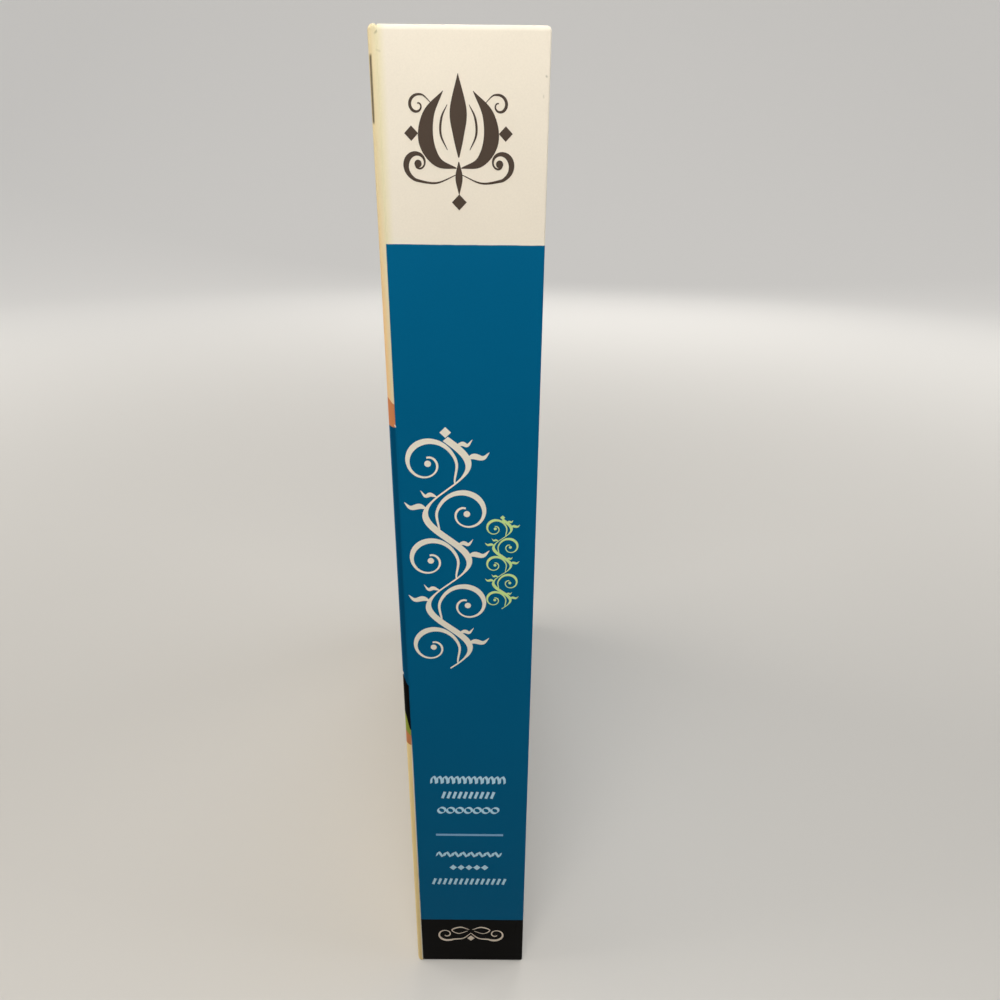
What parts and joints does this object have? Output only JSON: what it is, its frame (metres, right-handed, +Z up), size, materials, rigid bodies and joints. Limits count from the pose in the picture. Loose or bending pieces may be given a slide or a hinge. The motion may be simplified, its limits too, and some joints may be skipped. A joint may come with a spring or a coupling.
{
  "type": "calligraphy set box",
  "caption": "Upright book-style board box with a hinged cover panel, papered tray and formed insert that holds a calligraphy pen, spare nibs, ink cartridges, pencil, ruler, guide book and pad.",
  "frame": {"origin": "middle of the footprint, on the surface the box stands on", "axes": "+Z up from tail to head, spine faces -Y, hinged cover panel on -X, back panel on +X"},
  "size_m": [0.037, 0.216, 0.283],
  "materials": {
    "printed_paper": "satin",
    "cover_paper": "satin",
    "hinge_paper": "satin",
    "greyboard": "matte",
    "lining_paper": "matte",
    "tray_paper": "matte",
    "insert_plastic": "satin",
    "magnet": "satin",
    "keeper_steel": "satin",
    "pen_plastic": "gloss",
    "grip_plastic": "satin",
    "feed_plastic": "satin",
    "nib_steel": "polished",
    "trim_metal": "polished",
    "black_ink": "gloss",
    "blue_ink": "gloss",
    "pencil_wood": "satin",
    "graphite": "satin",
    "eraser_rubber": "matte",
    "sleeve_card": "matte",
    "ruler_plastic": "gloss",
    "book_cover_card": "satin",
    "page_paper": "matte",
    "backing_card": "matte",
    "binding_tape": "matte",
    "staple_wire": "satin"
  },
  "bodies": {
    "box": {"case_wrap": "printed_paper", "hinge_fold": "hinge_paper", "spine_board": "greyboard", "back_board": "greyboard", "tray_head_wall": "greyboard", "tray_tail_wall": "greyboard", "tray_fore_edge_wall": "greyboard", "tray_spine_wall": "greyboard", "tray_floor_lining": "lining_paper", "tray_paper": "tray_paper", "insert_book_bay": "insert_plastic", "insert_pencil_bay": "insert_plastic", "insert_pen_bay": "insert_plastic", "insert_ruler_bay": "insert_plastic", "insert_spares_bay": "insert_plastic", "magnets": "magnet", "pen_barrel": "pen_plastic", "pen_grip": "grip_plastic", "pen_feed": "feed_plastic", "spare_nib_feeds": "feed_plastic", "pen_nib": "nib_steel", "spare_nibs": "nib_steel", "pen_ink_cartridge": "black_ink", "black_ink_cartridges": "black_ink", "blue_ink_cartridges": "blue_ink", "pencil_body": "pencil_wood", "pencil_lead": "graphite", "eraser": "eraser_rubber", "eraser_sleeve": "sleeve_card", "ruler": "ruler_plastic", "guide_book_cover": "book_cover_card", "guide_book_pages": "page_paper", "guide_book_staples": "staple_wire", "pad_sheets": "page_paper", "pad_backing": "backing_card", "pad_tape": "binding_tape"},
    "cover": {"cover_wrap": "cover_paper", "cover_board": "greyboard", "cover_lining": "lining_paper", "keeper_discs": "keeper_steel"},
    "pen_cap": {"pen_cap": "pen_plastic", "pen_cap_band": "trim_metal", "pen_clip": "trim_metal"}
  },
  "joints": [
    {"name": "cover_hinge", "type": "hinge", "parent": "box", "child": "cover", "pos_m": [-0.01655, -0.1081, 0.1415], "axis": [0, 0, 1], "range_deg": [0, 178], "deforming": ["hinge_fold"]},
    {"name": "pen_cap_pull", "type": "slide", "parent": "box", "child": "pen_cap", "axis": [0, 0, 1], "range_m": [0, 0.05]}
  ]
}
